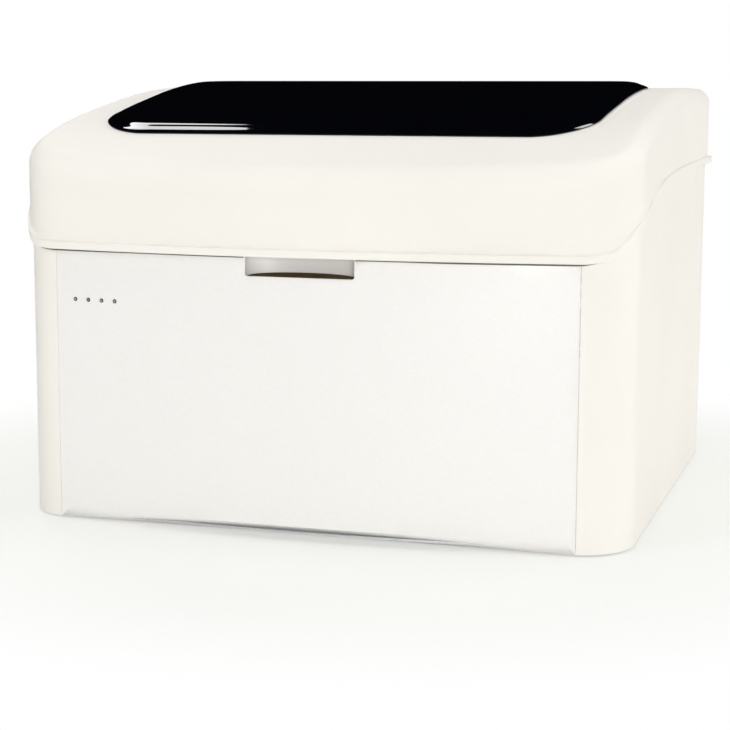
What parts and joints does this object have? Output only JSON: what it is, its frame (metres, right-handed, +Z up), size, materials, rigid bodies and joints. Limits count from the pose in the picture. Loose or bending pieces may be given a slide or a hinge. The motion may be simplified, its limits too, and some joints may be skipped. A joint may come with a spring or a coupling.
{
  "type": "biochemistry analyzer",
  "caption": "Bench-top biochemistry analyzer: a bowed casing and a rear-hinged lid with a dark window, over a sampling deck with carousels and arms.",
  "frame": {"origin": "middle of the footprint's box, on the bench under the feet", "axes": "+X to the right of the machine as seen from the front, +Y to its rear, +Z up"},
  "size_m": [0.718, 0.697, 0.499],
  "materials": {
    "cream_shell": "satin moulded shell, warm white",
    "pearl_panel": "pearl lacquer, pale grey with a soft sheen",
    "window_gloss": "black, high gloss",
    "bare_steel": "brushed",
    "dark_metal": "dark grey powder coat",
    "black_plastic": "fine moulded texture",
    "white_plastic": "white moulded plastic",
    "foot_rubber": "matt black",
    "clear_plastic": "clear moulded, slightly blue",
    "bottle_plastic": "translucent, with pale liquid behind it",
    "circuit_board": "green solder mask"
  },
  "bodies": {
    "housing": {"base_tray": "bare_steel", "foot_front_left": "foot_rubber", "foot_front_right": "foot_rubber", "foot_rear_left": "foot_rubber", "foot_rear_right": "foot_rubber", "front_panel": "pearl_panel", "finger_cup": "pearl_panel", "indicator_light_guide": "black_plastic", "right_side_panel": "cream_shell", "left_side_panel": "cream_shell", "rear_panel": "cream_shell", "power_entry": "black_plastic", "fluid_port_plate": "white_plastic", "fan_frame": "black_plastic", "chassis_frame": "dark_metal", "worktop": "white_plastic", "reagent_bath": "bare_steel", "reaction_bath": "bare_steel", "carousel_motor": "dark_metal", "reaction_motor": "dark_metal", "probe_sleeve": "dark_metal", "mixer_sleeve": "dark_metal", "probe_wash_pot": "white_plastic", "mixer_wash_pot": "white_plastic", "wash_head_post": "dark_metal", "syringe_body": "white_plastic", "power_supply": "bare_steel", "control_board": "circuit_board", "wash_pump": "dark_metal", "photometer": "black_plastic", "hinge_body_leaf_left": "bare_steel", "hinge_body_leaf_right": "bare_steel", "hinge_pin_left": "bare_steel", "hinge_pin_right": "bare_steel", "stay_bracket_body": "dark_metal"},
    "lid": {"lid_shell": "cream_shell", "lid_window": "window_gloss", "lid_stiffener": "dark_metal", "hinge_lid_leaf_left": "bare_steel", "hinge_lid_leaf_right": "bare_steel", "stay_bracket_lid": "dark_metal"},
    "stay_barrel": {"stay_cylinder": "black_plastic"},
    "stay_piston": {"stay_rod": "bare_steel"},
    "carousel": {"sample_carousel": "white_plastic", "reagent_bottle_1": "bottle_plastic", "reagent_bottle_2": "bottle_plastic", "reagent_bottle_3": "bottle_plastic", "reagent_bottle_4": "bottle_plastic", "reagent_bottle_5": "bottle_plastic", "reagent_bottle_6": "bottle_plastic"},
    "reaction_disc": {"reaction_ring": "clear_plastic"},
    "probe_lifter": {"probe_column": "bare_steel"},
    "probe_head": {"probe_arm": "white_plastic", "probe_needle": "bare_steel"},
    "mixer_lifter": {"mixer_column": "bare_steel"},
    "mixer_head": {"mixer_arm": "white_plastic"},
    "washer": {"wash_head": "white_plastic"},
    "plunger": {"syringe_plunger": "bare_steel"},
    "power_rocker": {"rocker_switch": "black_plastic"},
    "fan": {"fan_rotor": "black_plastic"}
  },
  "joints": [
    {"name": "lid_hinge", "type": "hinge", "parent": "housing", "child": "lid", "pos_m": [0, 0.331, 0.3892], "axis": [-1, 0, 0], "range_deg": [0, 72]},
    {"name": "stay_swing", "type": "hinge", "parent": "housing", "child": "stay_barrel", "pos_m": [0.316, 0.0985, 0.312], "axis": [-1, 0, 0], "range_deg": [0, 9.8]},
    {"name": "stay_extend", "type": "slide", "parent": "stay_barrel", "child": "stay_piston", "axis": [0, 0.7096, 0.7046], "range_m": [0, 0.124]},
    {"name": "carousel_spin", "type": "hinge", "parent": "housing", "child": "carousel", "pos_m": [-0.165, -0.0015, 0.3], "axis": [0, 0, 1], "continuous": true},
    {"name": "reaction_spin", "type": "hinge", "parent": "housing", "child": "reaction_disc", "pos_m": [0.185, 0.0285, 0.3], "axis": [0, 0, 1], "continuous": true},
    {"name": "probe_lift", "type": "slide", "parent": "housing", "child": "probe_lifter", "axis": [0, 0, 1], "range_m": [-0.06, 0]},
    {"name": "probe_swing", "type": "hinge", "parent": "probe_lifter", "child": "probe_head", "pos_m": [0.03, -0.1715, 0.4], "axis": [0, 0, 1], "range_deg": [-48.26, 75.09]},
    {"name": "mixer_lift", "type": "slide", "parent": "housing", "child": "mixer_lifter", "axis": [0, 0, 1], "range_m": [-0.06, 0]},
    {"name": "mixer_swing", "type": "hinge", "parent": "mixer_lifter", "child": "mixer_head", "pos_m": [0.308, -0.12913, 0.396], "axis": [0, 0, 1], "range_deg": [-35, 0]},
    {"name": "wash_lift", "type": "slide", "parent": "housing", "child": "washer", "axis": [0, 0, 1], "range_m": [-0.03, 0]},
    {"name": "plunger_stroke", "type": "slide", "parent": "housing", "child": "plunger", "axis": [0, 0, 1], "range_m": [-0.03, 0]},
    {"name": "rocker_tilt", "type": "hinge", "parent": "housing", "child": "power_rocker", "pos_m": [-0.23, 0.3215, 0.1055], "axis": [1, 0, 0], "range_deg": [0, 16]},
    {"name": "fan_spin", "type": "hinge", "parent": "housing", "child": "fan", "pos_m": [0.17, 0.3105, 0.17], "axis": [0, 1, 0], "continuous": true}
  ],
  "couplings": [
    {"joint": "stay_swing", "follows": "lid_hinge", "ratio": 0.13536},
    {"joint": "stay_extend", "follows": "lid_hinge", "m_per_rad": 0.098352}
  ]
}
